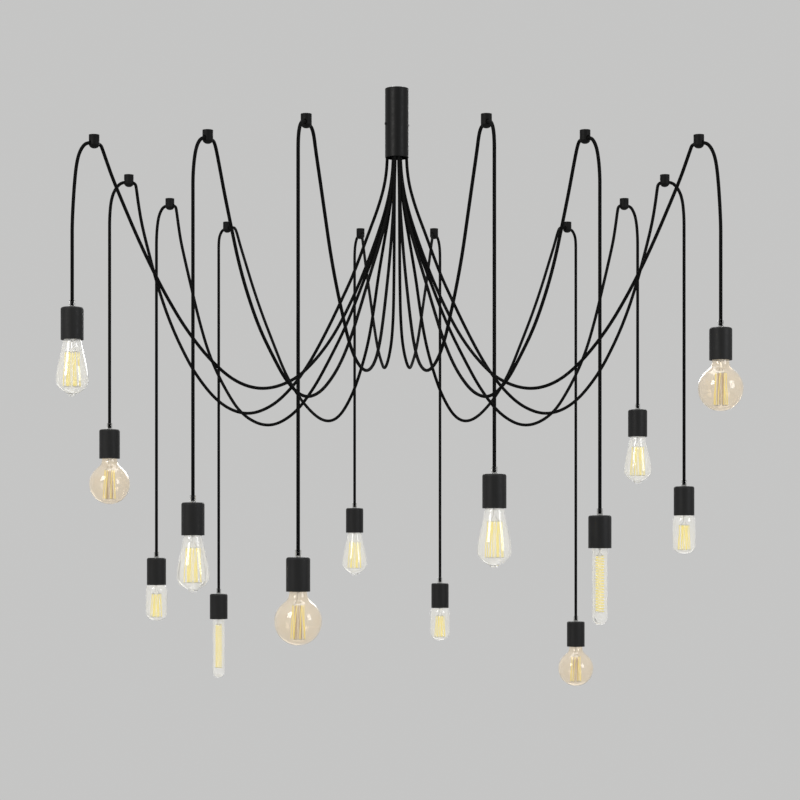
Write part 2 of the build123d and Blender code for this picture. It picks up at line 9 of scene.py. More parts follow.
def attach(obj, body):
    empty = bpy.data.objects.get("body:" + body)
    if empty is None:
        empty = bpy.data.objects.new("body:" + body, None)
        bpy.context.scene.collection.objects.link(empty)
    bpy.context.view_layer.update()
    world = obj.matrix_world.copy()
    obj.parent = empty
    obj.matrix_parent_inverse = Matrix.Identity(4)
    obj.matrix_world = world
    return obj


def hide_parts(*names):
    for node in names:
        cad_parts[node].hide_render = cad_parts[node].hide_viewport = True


# A pendant light: fourteen filament lamps on textile cords. Each cord leaves one small canopy,
# sags in a swag to its own ceiling hook and drops from there to its lampholder.
# Metres, +Z up, -Y is the front. Profiles and wires are written in millimetres.
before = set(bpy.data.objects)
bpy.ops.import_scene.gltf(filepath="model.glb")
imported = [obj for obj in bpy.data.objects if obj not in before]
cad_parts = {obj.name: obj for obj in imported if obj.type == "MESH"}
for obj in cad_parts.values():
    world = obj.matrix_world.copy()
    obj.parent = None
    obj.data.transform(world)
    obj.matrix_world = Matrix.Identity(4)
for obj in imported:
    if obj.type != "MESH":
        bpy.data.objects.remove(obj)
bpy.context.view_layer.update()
scene = bpy.context.scene
mm = 0.001

# Camera: level, in front of the object, with the frame raised by the lens shift
camera_place = (0.007, -4.385, -1.012)
camera_lens = 87.98
camera_rise = 0.175
camera_data = bpy.data.cameras.new("camera")
camera_data.lens = camera_lens
camera_data.shift_y = camera_rise
camera = bpy.data.objects.new("camera", camera_data)
camera.location = camera_place
camera.rotation_euler = (math.radians(90), 0, 0)
scene.collection.objects.link(camera)
scene.camera = camera

# Cords, hooks and lamps. start is the cord's place in the cord plate and hook the middle of its
# ceiling hook, in plan for the left side. bore_turn is the angle by which the hook's bore is
# turned outwards from the line between them. swag lists (way from the start, height), hook_bend
# and drop_bend list (way along the bore, height over it).
cord_d = 0.007
cord_top = -0.08
mouth_draw = {1: 0.0015, 7: 0.0015}  # draws the innermost cords together below the mouth
bore_z = -0.224
hook_run = 0.045  # keeps the drop straight below its hook's bend
drop_seat = 0.003
pairs = {
    1: dict(
        start=(-0.005, -0.0205), hook=(-0.17, -0.695), bore_turn=0,
        swag=[(0, -0.143), (0.002, -0.208), (0.01, -0.27), (0.027, -0.333), (0.047, -0.396),
              (0.073, -0.461), (0.1, -0.523), (0.131, -0.583), (0.177, -0.634), (0.246, -0.659),
              (0.324, -0.646), (0.389, -0.608), (0.435, -0.56), (0.483, -0.506), (0.527, -0.446),
              (0.563, -0.382), (0.602, -0.313)],
        hook_bend=[(-0.064, -0.04), (-0.051, -0.013), (-0.037, -0.002), (-0.019, 0), (0, 0)],
        drop_bend=[(0, 0), (0.022, 0), (0.042, -0.013), (0.053, -0.038)]),
    2: dict(
        start=(-0.0065, -0.0124), hook=(-0.37, -0.55), bore_turn=0,
        swag=[(0, -0.143), (0.004, -0.21), (0.02, -0.274), (0.053, -0.35), (0.098, -0.438),
              (0.132, -0.508), (0.16, -0.563), (0.192, -0.616), (0.231, -0.663), (0.282, -0.703),
              (0.338, -0.715), (0.395, -0.685), (0.445, -0.631), (0.488, -0.579), (0.526, -0.514),
              (0.554, -0.453), (0.577, -0.386), (0.599, -0.32)],
        hook_bend=[(-0.038, -0.056), (-0.028, -0.024), (-0.022, -0.008), (-0.015, 0), (0, 0)],
        drop_bend=[(0, 0), (0.016, 0), (0.03, -0.013), (0.039, -0.035), (0.045, -0.075)]),
    3: dict(
        start=(-0.007, -0.0041), hook=(-0.6, -0.505), bore_turn=0,
        swag=[(0, -0.143), (0.006, -0.212), (0.025, -0.28), (0.059, -0.362), (0.098, -0.444),
              (0.139, -0.516), (0.177, -0.573), (0.227, -0.628), (0.281, -0.67), (0.356, -0.694),
              (0.427, -0.684), (0.493, -0.643), (0.557, -0.58), (0.605, -0.516), (0.645, -0.454),
              (0.677, -0.398), (0.706, -0.343)],
        hook_bend=[(-0.043, -0.066), (-0.028, -0.031), (-0.02, -0.012), (-0.0145, 0), (0, 0)],
        drop_bend=[(0, 0), (0.015, 0), (0.029, -0.013), (0.039, -0.038), (0.045, -0.084),
                   (0.05, -0.16)]),
    4: dict(
        start=(-0.0206, 0), hook=(-0.59, -0.08), bore_turn=0,
        swag=[(0, -0.143), (0.004, -0.204), (0.02, -0.264), (0.047, -0.335), (0.076, -0.415),
              (0.106, -0.48), (0.138, -0.547), (0.176, -0.618), (0.214, -0.672), (0.26, -0.716),
              (0.316, -0.736), (0.374, -0.713), (0.427, -0.65), (0.465, -0.578), (0.492, -0.513),
              (0.514, -0.445), (0.532, -0.377)],
        hook_bend=[(-0.028, -0.092), (-0.0205, -0.046), (-0.017, -0.018), (-0.014, 0), (0, 0)],
        drop_bend=[(0, 0), (0.0145, 0), (0.028, -0.013), (0.038, -0.036), (0.042, -0.075)]),
    5: dict(
        start=(-0.0065, 0.0041), hook=(-0.535, 0.22), bore_turn=0,
        swag=[(0, -0.143), (0.004, -0.208), (0.016, -0.27), (0.042, -0.35), (0.082, -0.446),
              (0.118, -0.528), (0.158, -0.6), (0.199, -0.668), (0.25, -0.727), (0.314, -0.754),
              (0.381, -0.724), (0.426, -0.66), (0.465, -0.585), (0.492, -0.503), (0.516, -0.412),
              (0.535, -0.338)],
        hook_bend=[(-0.028, -0.08), (-0.0215, -0.04), (-0.018, -0.015), (-0.0145, 0), (0, 0)],
        drop_bend=[(0, 0), (0.0145, 0), (0.025, -0.012), (0.032, -0.032), (0.036, -0.07)]),
    6: dict(
        start=(-0.0065, 0.0124), hook=(-0.43, 0.56), bore_turn=0,
        swag=[(0, -0.143), (0.004, -0.208), (0.017, -0.272), (0.038, -0.342), (0.059, -0.415),
              (0.074, -0.481), (0.094, -0.554), (0.121, -0.615), (0.159, -0.679), (0.215, -0.731),
              (0.279, -0.733), (0.358, -0.685), (0.43, -0.613), (0.485, -0.53), (0.534, -0.455),
              (0.576, -0.382), (0.608, -0.32)],
        hook_bend=[(-0.06, -0.05), (-0.046, -0.019), (-0.036, -0.003), (-0.022, 0), (0, 0)],
        drop_bend=[(0, 0), (0.018, 0), (0.032, -0.009), (0.04, -0.025)]),
    7: dict(
        start=(-0.005, 0.0205), hook=(-0.095, 0.665), bore_turn=20,
        swag=[(0, -0.143), (0.002, -0.208), (0.005, -0.276), (0.008, -0.35), (0.012, -0.43),
              (0.024, -0.516), (0.066, -0.578), (0.168, -0.618), (0.246, -0.584), (0.306, -0.548),
              (0.379, -0.482), (0.436, -0.423), (0.5, -0.36), (0.555, -0.301), (0.593, -0.258),
              (0.618, -0.233)],
        hook_bend=[(-0.015, 0), (0, 0)],
        drop_bend=[(0, 0), (0.015, 0), (0.027, -0.013), (0.034, -0.036)]),
}

# Lamps: (side, pair) with the casing's top face below the hook's bore, the bulb and the real
# lengths of the swag and the drop
lamps = {
    ("left", 1): (0.82, "globe", 1.3256, 0.8507),
    ("right", 1): (0.665, "pear", 1.3256, 0.6957),
    ("left", 2): (0.715, "pear", 1.3635, 0.7352),
    ("right", 2): (0.74, "long_tube", 1.3635, 0.7602),
    ("left", 3): (0.33, "pear", 1.4158, 0.3495),
    ("right", 3): (0.37, "globe", 1.4158, 0.3895),
    ("left", 4): (0.545, "globe", 1.3637, 0.5635),
    ("right", 4): (0.67, "short_tube", 1.3637, 0.6885),
    ("left", 5): (0.83, "short_tube", 1.3927, 0.8458),
    ("right", 5): (0.48, "pear", 1.3927, 0.4958),
    ("left", 6): (0.925, "long_tube", 1.4396, 0.9485),
    ("right", 6): (0.995, "globe", 1.4396, 1.0185),
    ("left", 7): (0.705, "pear", 1.2481, 0.7215),
    ("right", 7): (0.9, "short_tube", 1.2481, 0.9165),
}
side_sign = {"left": 1, "right": -1}

# Glass of each kind of bulb in millimetres. The glass is widest at half of wide_d; neck_shares
# hold (radius, way below the casing's mouth) as shares of that half, and foot_shares and
# hollow_shares hold (radius, way below the straight) as shares of it and of foot_h. They are the
# control points of one cubic curve after another, hollow_shares those of the inner face. cage_r,
# cage_top and cage_length place the filament's wires on the stem.
round_share = 0.5523  # handle of a cubic curve that stands for a quarter round
round_foot_shares = [(1, round_share), (round_share, 1), (0, 1)]
bulbs = {
    "pear": dict(
        wide_d=64.0, straight=2.0, foot_h=30.0,
        neck_shares=[(0.45, -0.19), (0.59, 0.06), (0.61, 0.31), (0.69, 0.88), (1, 1.81), (1, 2.5)],
        foot_shares=[(1, 0.2), (0.84, 0.5), (0.31, 0.8), (0.25, 0.84), (0.25, 1), (0, 1)],
        hollow_shares=[(1, 0.2), (0.84, 0.5), (0.31, 0.8), (0.22, 0.84), (0.12, 0.86), (0, 0.86)],
        cage_r=15.5, cage_top=25.0, cage_length=66.0),
    "globe": dict(
        wide_d=89.0, straight=2.6, foot_h=44.5,
        neck_shares=[(0.3, -0.15), (0.38, -0.09), (0.38, 0.04), (0.38, 0.27), (0.47, 0.35),
                     (0.63, 0.48), (0.86, 0.67), (1, 0.95), (1, 1.2)],
        foot_shares=round_foot_shares, hollow_shares=round_foot_shares,
        cage_r=12.0, cage_top=26.0, cage_length=62.0),
    "short_tube": dict(
        wide_d=50.0, straight=52.0, foot_h=19.0,
        neck_shares=[(0.54, -0.24), (0.7, -0.14), (0.81, 0), (0.94, 0.17), (1, 0.32), (1, 0.56)],
        foot_shares=round_foot_shares, hollow_shares=round_foot_shares,
        cage_r=12.0, cage_top=22.0, cage_length=53.0),
    "long_tube": dict(
        wide_d=30.0, straight=136.0, foot_h=15.0,
        neck_shares=[(0.83, -0.47), (1, -0.37), (1, -0.07)],
        foot_shares=round_foot_shares, hollow_shares=round_foot_shares,
        cage_r=8.0, cage_top=15.0, cage_length=108.0),
}

# Lampholder and bulb in millimetres. Heights count from the casing's top face.
casing_r = 22.5
casing_h = 64.0
casing_wall = 1.5
casing_round = 4.5
grip_r = 6.0
grip_h = 14.0
grip_bore_r = 3.7
grip_neck_r = 5.0
core_hole_r = 2.9
insert_gap = 0.3  # between the insert and the casing
insert_top = -14.0
insert_floor = -24.0
insert_foot = 3.0 - casing_h
contact_top = -25.9
collar_top = -27.3
thread_top = -30.9
neck_top_r = 11.5
neck_rise = 9.4  # of the neck's top above the casing's mouth
glass_top = -48.3
glass_wall = 0.8
stem_r = 2.1
stem_bead = 0.9  # by which the stem swells where the wires are held
strands = 14  # of the filament, with a support wire at each end


# Materials
def shader(name, roughness, metallic=0.0, specular=0.5):
    """A material with its node tree, its principled shader and object coordinates."""
    material = bpy.data.materials.new(name)
    material.use_nodes = True
    nodes = material.node_tree.nodes
    principled = nodes["Principled BSDF"]
    principled.inputs["Roughness"].default_value = roughness
    principled.inputs["Metallic"].default_value = metallic
    principled.inputs["Specular IOR Level"].default_value = specular
    place = nodes.new("ShaderNodeTexCoord").outputs["Object"]
    return material, principled, place


def stretched(material, place, stretch):
    """The coordinates, stretched along the axes."""
    mapping = material.node_tree.nodes.new("ShaderNodeMapping")
    mapping.inputs["Scale"].default_value = stretch
    material.node_tree.links.new(place, mapping.inputs["Vector"])
    return mapping.outputs["Vector"]


def noise(material, place, scale, detail=3.0):
    """A noise texture's value."""
    texture = material.node_tree.nodes.new("ShaderNodeTexNoise")
    texture.inputs["Scale"].default_value = scale
    texture.inputs["Detail"].default_value = detail
    material.node_tree.links.new(place, texture.inputs["Vector"])
    return texture.outputs["Fac"]


def two_tone(material, principled, value, dark, light, low=0.35, high=0.65):
    """Base colour between two tones by a value."""
    ramp = material.node_tree.nodes.new("ShaderNodeValToRGB")
    ramp.color_ramp.elements[0].position = low
    ramp.color_ramp.elements[0].color = (*dark, 1)
    ramp.color_ramp.elements[1].position = high
    ramp.color_ramp.elements[1].color = (*light, 1)
    material.node_tree.links.new(value, ramp.inputs["Fac"])
    material.node_tree.links.new(ramp.outputs["Color"], principled.inputs["Base Color"])


def rough_range(material, principled, value, low, high):
    """Roughness between two limits by a value."""
    span = material.node_tree.nodes.new("ShaderNodeMapRange")
    span.inputs["From Min"].default_value = 0.3
    span.inputs["From Max"].default_value = 0.7
    span.inputs["To Min"].default_value = low
    span.inputs["To Max"].default_value = high
    material.node_tree.links.new(value, span.inputs["Value"])
    material.node_tree.links.new(span.outputs["Result"], principled.inputs["Roughness"])


def bumped(material, principled, value, depth, strength=0.6):
    """A bump of the given depth in metres by a value."""
    bump = material.node_tree.nodes.new("ShaderNodeBump")
    bump.inputs["Distance"].default_value = depth
    bump.inputs["Strength"].default_value = strength
    material.node_tree.links.new(value, bump.inputs["Height"])
    material.node_tree.links.new(bump.outputs["Normal"], principled.inputs["Normal"])


def coated_metal(name, dark, light, low, high, metallic, specular, stretch, grain):
    """Lacquer or bare metal: soft tonal bands of random tone, on the canopy stretched upright into
    painted reflection streaks, roughness from low to high and a fine grain.
    """
    material, principled, place = shader(name, low, metallic, specular)
    tone_and_sheen_bands = noise(material, stretched(material, place, stretch), scale=60.0)
    two_tone(material, principled, tone_and_sheen_bands, dark, light)
    rough_range(material, principled, noise(material, place, scale=140.0), low, high)
    bumped(material, principled, noise(material, place, grain, detail=2.0), depth=0.00008)
    return material


def textile(name, dark, light):
    """Braided yarn: ribs round the cord crossed by a fine knobbly weave."""
    material, principled, place = shader(name, roughness=0.9, specular=0.05)
    nodes, links = material.node_tree.nodes, material.node_tree.links
    yarn = nodes.new("ShaderNodeTexVoronoi")
    yarn.inputs["Scale"].default_value = 820.0
    yarn.inputs["Randomness"].default_value = 0.45
    links.new(place, yarn.inputs["Vector"])
    lay = nodes.new("ShaderNodeTexWave")
    lay.bands_direction = "DIAGONAL"
    lay.inputs["Scale"].default_value = 95.0
    lay.inputs["Distortion"].default_value = 1.5
    links.new(place, lay.inputs["Vector"])
    both = nodes.new("ShaderNodeMath")
    both.operation = "MULTIPLY_ADD"
    links.new(yarn.outputs["Distance"], both.inputs[0])
    both.inputs[1].default_value = -0.7
    links.new(lay.outputs["Fac"], both.inputs[2])
    two_tone(material, principled, both.outputs["Value"], dark, light, low=0.1, high=0.9)
    rough_range(material, principled, noise(material, place, scale=300.0), low=0.75, high=0.95)
    bumped(material, principled, both.outputs["Value"], depth=0.00012, strength=0.4)
    return material


def clear(name, dark, light, roughness, ior, passing, glow):
    """Blown glass or clear plastic: faint waves, a slight change of tint, and a veil of painted
    glow by which the glass shines of itself.
    """
    material, principled, place = shader(name, roughness)
    principled.inputs["Transmission Weight"].default_value = passing
    principled.inputs["IOR"].default_value = ior
    # The emission here is a painted glow of the glass, which is no lamp.
    principled.inputs["Emission Color"].default_value = (*light, 1)
    principled.inputs["Emission Strength"].default_value = glow
    two_tone(material, principled, noise(material, place, scale=35.0, detail=1.0), dark, light)
    waves = noise(material, stretched(material, place, (1.0, 1.0, 0.35)), scale=45.0, detail=1.0)
    bumped(material, principled, waves, depth=0.0004, strength=0.15)
    return material


def glowing(name, dark, light, glow):
    """A glowing filament wire: uneven tone, fine grain and its own light."""
    material, principled, place = shader(name, roughness=0.5, specular=0.3)
    principled.inputs["Emission Color"].default_value = (*glow, 1)
    principled.inputs["Emission Strength"].default_value = 1.0
    two_tone(material, principled, noise(material, place, scale=400.0), dark, light)
    bumped(material, principled, noise(material, place, scale=2500.0), depth=0.00005)
    return material


# On the canopy the tonal bands run upright: painted reflection streaks of the lights on its round
# side.
canopy_black = coated_metal("canopy_black", (0.004, 0.004, 0.004), (0.008, 0.008, 0.008),
                            low=0.36, high=0.48, metallic=0.0, specular=0.16,
                            stretch=(1.0, 1.0, 0.04), grain=1800.0)
casing_charcoal = coated_metal("casing_charcoal", (0.011, 0.011, 0.011), (0.018, 0.018, 0.018),
                               low=0.42, high=0.56, metallic=0.0, specular=0.18,
                               stretch=(1.0, 1.0, 0.1), grain=2200.0)
hook_black = coated_metal("hook_black", (0.003, 0.003, 0.003), (0.006, 0.006, 0.006),
                          low=0.5, high=0.65, metallic=0.0, specular=0.12,
                          stretch=(1.0, 1.0, 1.0), grain=1500.0)
moulded_black = coated_metal("moulded_black", (0.011, 0.011, 0.012), (0.019, 0.019, 0.02),
                             low=0.5, high=0.65, metallic=0.0, specular=0.3,
                             stretch=(1.0, 1.0, 1.0), grain=1300.0)
screw_black = coated_metal("screw_black", (0.02, 0.02, 0.021), (0.04, 0.04, 0.041),
                           low=0.3, high=0.45, metallic=0.8, specular=0.5,
                           stretch=(1.0, 1.0, 3.0), grain=2500.0)
plated_zinc = coated_metal("plated_zinc", (0.46, 0.47, 0.48), (0.62, 0.63, 0.63),
                           low=0.28, high=0.42, metallic=1.0, specular=0.5,
                           stretch=(1.0, 1.0, 0.3), grain=1600.0)
cap_brass = coated_metal("cap_brass", (0.55, 0.42, 0.2), (0.72, 0.57, 0.3),
                         low=0.22, high=0.36, metallic=1.0, specular=0.5,
                         stretch=(1.0, 1.0, 0.3), grain=1600.0)
terminal_white = coated_metal("terminal_white", (0.66, 0.65, 0.61), (0.76, 0.75, 0.72),
                              low=0.45, high=0.6, metallic=0.0, specular=0.4,
                              stretch=(1.0, 1.0, 1.0), grain=1200.0)
core_sheath = coated_metal("core_sheath", (0.5, 0.23, 0.08), (0.62, 0.3, 0.12),
                           low=0.4, high=0.55, metallic=0.0, specular=0.4,
                           stretch=(1.0, 1.0, 1.0), grain=1400.0)
lead_steel = coated_metal("lead_steel", (0.2, 0.19, 0.17), (0.34, 0.32, 0.28),
                          low=0.3, high=0.45, metallic=1.0, specular=0.5,
                          stretch=(1.0, 1.0, 1.0), grain=1800.0)
cord_textile = textile("cord_textile", (0.003, 0.003, 0.003), (0.01, 0.01, 0.01))
# The bulbs' glass takes a faint painted glow (glow) that lifts it above the background.
clear_bulb = clear("clear_bulb", (0.98, 0.975, 0.955), (0.99, 0.985, 0.97),
                   roughness=0.01, ior=1.45, passing=0.86, glow=0.05)
amber_bulb = clear("amber_bulb", (0.97, 0.895, 0.78), (0.985, 0.92, 0.82),
                   roughness=0.015, ior=1.45, passing=0.86, glow=0.04)
grip_clear = clear("grip_clear", (0.62, 0.62, 0.61), (0.7, 0.7, 0.69),
                   roughness=0.04, ior=1.2, passing=1.0, glow=0.0)
filament_gold = glowing("filament_gold", (0.2, 0.13, 0.002), (0.34, 0.25, 0.004),
                        glow=(0.66, 0.54, 0.002))
# A darker, dimmer copy of the glowing filament: painted shade for a globe's inner strands.
filament_gold_shaded = glowing("filament_gold_shaded", (0.12, 0.06, 0.002), (0.2, 0.11, 0.006),
                         glow=(0.2, 0.11, 0.002))


# Shapes
sharp_angle = 32  # degrees between faces from which an edge shows


def lathe(mesh, profile, steps=64, slot=0, closed=False, inward=False):
    """Turns (radius, height) points in millimetres about Z."""
    rings = []
    for radius, height in profile:
        if not radius:
            rings.append([mesh.verts.new((0, 0, height * mm))])
        else:
            rings.append([
                mesh.verts.new((radius * mm * math.cos(turn), radius * mm * math.sin(turn),
                                height * mm))
                for turn in (math.tau * step / steps for step in range(steps))
            ])
    following = rings[1:] + (rings[:1] if closed else [])
    made = []
    for upper, lower in zip(rings, following):
        for step in range(steps):
            after = (step + 1) % steps
            corners = [upper[step % len(upper)], upper[after % len(upper)],
                       lower[after % len(lower)], lower[step % len(lower)]]
            corners = list(dict.fromkeys(corners))
            if len(corners) > 2:
                face = mesh.faces.new(corners)
                face.material_index = slot
                made.append(face)
    bmesh.ops.recalc_face_normals(mesh, faces=made)
    if inward:
        bmesh.ops.reverse_faces(mesh, faces=made)


def wire(mesh, points, radius, sides=6, slot=0):
    """A round wire along points in millimetres."""
    places = [Vector(point) * mm for point in points]
    across = (places[1] - places[0]).orthogonal().normalized()
    rings = []
    for number, place in enumerate(places):
        before = places[max(number - 1, 0)]
        after = places[min(number + 1, len(places) - 1)]
        along = (after - before).normalized()
        across = (across - along * across.dot(along)).normalized()
        beside = along.cross(across)
        rings.append([
            mesh.verts.new(place + (across * math.cos(turn) + beside * math.sin(turn))
                           * radius * mm)
            for turn in (math.tau * side / sides for side in range(sides))
        ])
    made = []
    for first, second in zip(rings, rings[1:]):
        for side in range(sides):
            after = (side + 1) % sides
            made.append(mesh.faces.new((first[side], first[after], second[after], second[side])))
    made.append(mesh.faces.new(list(reversed(rings[0]))))
    made.append(mesh.faces.new(rings[-1]))
    for face in made:
        face.material_index = slot
    bmesh.ops.recalc_face_normals(mesh, faces=made)


def coiled(points, radius, pitch, per_turn=6):
    """Points of a fine coil wound about a line through points, in millimetres."""
    line = [Vector(point) for point in points]
    across = (line[1] - line[0]).orthogonal().normalized()
    coil = []
    turn = 0.0
    for start, end in zip(line, line[1:]):
        run = end - start
        along = run.normalized()
        across = (across - along * across.dot(along)).normalized()
        beside = along.cross(across)
        count = max(int(round(run.length / pitch * per_turn)), 1)
        for step in range(count):
            place = start + run * (step / count)
            coil.append(place + (across * math.cos(turn) + beside * math.sin(turn)) * radius)
            turn += math.tau / per_turn
    coil.append(line[-1])
    return coil


def arc(centre_r, centre_z, radius, begin, end, steps=8):
    """(radius, height) points of an arc from one direction to another, in degrees."""
    turns = [math.radians(begin + (end - begin) * step / steps) for step in range(steps + 1)]
    return [(centre_r + radius * math.cos(turn), centre_z + radius * math.sin(turn))
            for turn in turns]


def solid(mesh, name, *materials):
    """A smooth mesh with its sharp edges kept, and its materials."""
    sharp = math.radians(sharp_angle)
    for face in mesh.faces:
        face.smooth = True
    for edge in mesh.edges:
        edge.smooth = len(edge.link_faces) < 2 or edge.calc_face_angle(0) < sharp
    data = bpy.data.meshes.new(name)
    mesh.to_mesh(data)
    mesh.free()
    for material in materials:
        data.materials.append(material)
    return data


def casing_mesh():
    """Thin turned casing with a rounded shoulder and a rolled mouth."""
    hole_r = 5.3
    hole_bevel = 0.3
    hole_bevel_h = 0.2
    face_end_r = casing_r - casing_round - 0.6
    wall_top = -casing_round - 0.7
    wall_foot = 1.0 - casing_h
    outer_lip = 0.4
    inner_lip = 0.3
    shoulder_r = casing_r - casing_round
    inner_r = casing_r - casing_wall
    mesh = bmesh.new()
    profile = [(hole_r, -hole_bevel_h), (hole_r + hole_bevel, 0), (face_end_r, 0)]
    profile += arc(shoulder_r, -casing_round, casing_round, 90, 0, steps=10)
    profile += [(casing_r, wall_top), (casing_r, wall_foot)]
    profile += arc(casing_r - outer_lip, outer_lip - casing_h, outer_lip, 0, -90, steps=4)
    profile += arc(inner_r + inner_lip, inner_lip - casing_h, inner_lip, -90, -180, steps=3)
    profile += [(inner_r, wall_foot), (inner_r, wall_top)]
    profile += arc(shoulder_r, -casing_round, casing_round - casing_wall, 0, 90)
    profile += [(hole_r, -casing_wall)]
    lathe(mesh, profile, steps=96, closed=True)
    return solid(mesh, "casing", casing_charcoal)


def grip_mesh():
    """Clear cord grip: a tube with a rounded lip over a threaded neck."""
    lip = 0.8
    mouth_round = 0.6
    bore_top = grip_h - mouth_round - 0.1
    groove_top = 3.4
    groove_foot = 2.2
    groove_depth = 0.2
    bevel_h = 0.3
    seat_top = 0.6
    thread_pitch = 2.0
    thread_depth = 0.3
    thread_turns = 5
    neck_foot = -11.5
    groove_r = grip_r - groove_depth
    thread_r = grip_neck_r - thread_depth
    mesh = bmesh.new()
    profile = [(grip_bore_r + mouth_round, grip_h)]
    profile += arc(grip_r - lip, grip_h - lip, lip, 90, 0, steps=5)
    profile += [(grip_r, grip_h - lip * 2), (grip_r, groove_top), (groove_r, groove_top - bevel_h),
                (groove_r, groove_foot + bevel_h), (grip_r, groove_foot), (grip_r, bevel_h),
                (groove_r, 0), (grip_neck_r, 0)]
    for turn in range(thread_turns):
        profile += [(grip_neck_r, -thread_pitch * (turn + 0.5)),
                    (thread_r, -thread_pitch * (turn + 1))]
    profile += [(thread_r, neck_foot), (core_hole_r, neck_foot), (core_hole_r, seat_top),
                (grip_bore_r, seat_top), (grip_bore_r, bore_top)]
    profile += arc(grip_bore_r + mouth_round, grip_h - mouth_round, mouth_round, 180, 90,
                   steps=4)[:-1]
    lathe(mesh, profile, steps=48, closed=True)
    return solid(mesh, "grip", grip_clear)


def insert_mesh():
    """Insulating insert with a flared mouth, the threaded shell and its contact tongue."""
    insert_r = casing_r - casing_wall - insert_gap
    boss_top = -casing_wall - 0.1
    boss_r = 9.0
    boss_bore_r = 5.1
    neck_pocket = -12.0
    bevel = 0.4
    rolled = 0.5
    mouth_r = 19.9
    seat_r = 14.3
    seat_foot = -51.8
    flare_top = -52.3
    flare_top_r = 14.5
    mesh = bmesh.new()
    profile = [(boss_bore_r, boss_top), (boss_r, boss_top), (boss_r, insert_top + bevel),
               (boss_r + bevel, insert_top), (insert_r - bevel, insert_top),
               (insert_r, insert_top - bevel), (insert_r, insert_foot + bevel)]
    profile += arc(insert_r - bevel, insert_foot + bevel, bevel, 0, -90, steps=3)
    profile += [(mouth_r, insert_foot)]
    profile += arc(mouth_r, insert_foot + rolled, rolled, -90, -150, steps=3)
    profile += [(flare_top_r, flare_top), (seat_r, seat_foot), (seat_r, insert_floor),
                (core_hole_r, insert_floor), (core_hole_r, neck_pocket),
                (boss_bore_r, neck_pocket)]
    lathe(mesh, profile, steps=72, closed=True)
    shell_top = insert_floor - 0.2
    shell_h = 26.6
    shell_r = 13.85
    shell_wall = 0.4
    ridge = 0.2
    ridge_steps = 8
    shell_steps = 48
    ridges = []
    for number in range(shell_steps + 1):
        height = shell_top - shell_h * number / shell_steps
        ridges.append((shell_r + ridge * math.cos(math.tau * number / ridge_steps), height))
    inside = [(radius - shell_wall, height) for radius, height in reversed(ridges)]
    lathe(mesh, ridges + inside, slot=1, closed=True)
    tongue_r = 4.0
    tongue_top = insert_floor - 0.1
    tongue_foot = insert_floor - 1.4
    tongue_edge = 0.3
    crown_r = 1.2
    crown_foot = tongue_foot - 0.1
    tongue = [(0, tongue_top), (tongue_r - bevel, tongue_top), (tongue_r, tongue_top - tongue_edge),
              (tongue_r, tongue_foot + tongue_edge), (tongue_r - bevel, tongue_foot),
              (crown_r, crown_foot), (0, crown_foot)]
    lathe(mesh, tongue, steps=32, slot=2)
    return solid(mesh, "insert", moulded_black, cap_brass, plated_zinc)


def cap_mesh():
    """Screw cap: rolled thread, plain skirt, black collar and centre contact."""
    cap_wall = 0.5
    rim_r = 10.6
    rim_top = thread_top + 0.5
    edge_r = 12.2
    edge_top = thread_top + 0.3
    thread_h = 17.2
    thread_r = 12.7
    ridge = 0.3
    ridge_steps = 12
    thread_steps = 60
    skirt_r = 12.5
    skirt_top = -48.6
    skirt_foot = -53.9
    turned_r = 12.3
    turned_foot = -54.3
    mesh = bmesh.new()
    outside = [(rim_r, rim_top), (edge_r, edge_top)]
    for number in range(thread_steps + 1):
        height = thread_top - thread_h * number / thread_steps
        outside.append((thread_r + ridge * math.sin(math.tau * number / ridge_steps), height))
    outside += [(skirt_r, skirt_top), (skirt_r, skirt_foot), (turned_r, turned_foot)]
    inside = [(radius - cap_wall, height) for radius, height in reversed(outside)]
    lathe(mesh, outside + inside, closed=True)
    collar_r = 10.5
    collar_bore_r = 4.6
    collar = [(collar_bore_r, collar_top), (collar_bore_r + 0.6, collar_top),
              (collar_r - 0.9, collar_top - 2.5), (collar_r, collar_top - 3.0),
              (collar_r, thread_top), (collar_bore_r, thread_top)]
    lathe(mesh, collar, steps=48, slot=1, closed=True)
    contact_r = 4.5
    contact = [(0, contact_top), (contact_r - 2.1, contact_top),
               (contact_r - 0.6, contact_top - 0.5), (contact_r - 0.1, contact_top - 1.0),
               (contact_r, collar_top), (contact_r, collar_top - 0.7), (0, collar_top - 0.7)]
    lathe(mesh, contact, steps=32, slot=2)
    return solid(mesh, "cap", cap_brass, moulded_black, plated_zinc)


def cubic(controls, steps):
    """(radius, height) points along a cubic curve, without its first one."""
    knots = [Vector((radius, 0, height)) for radius, height in controls]
    return [(point.x, point.z) for point in interpolate_bezier(*knots, steps)][1:]


def curves(controls, steps):
    """(radius, height) points along one cubic curve after another, without the first one."""
    points = []
    for knot in range(0, len(controls) - 1, 3):
        points += cubic(controls[knot:knot + 4], steps)
    return points


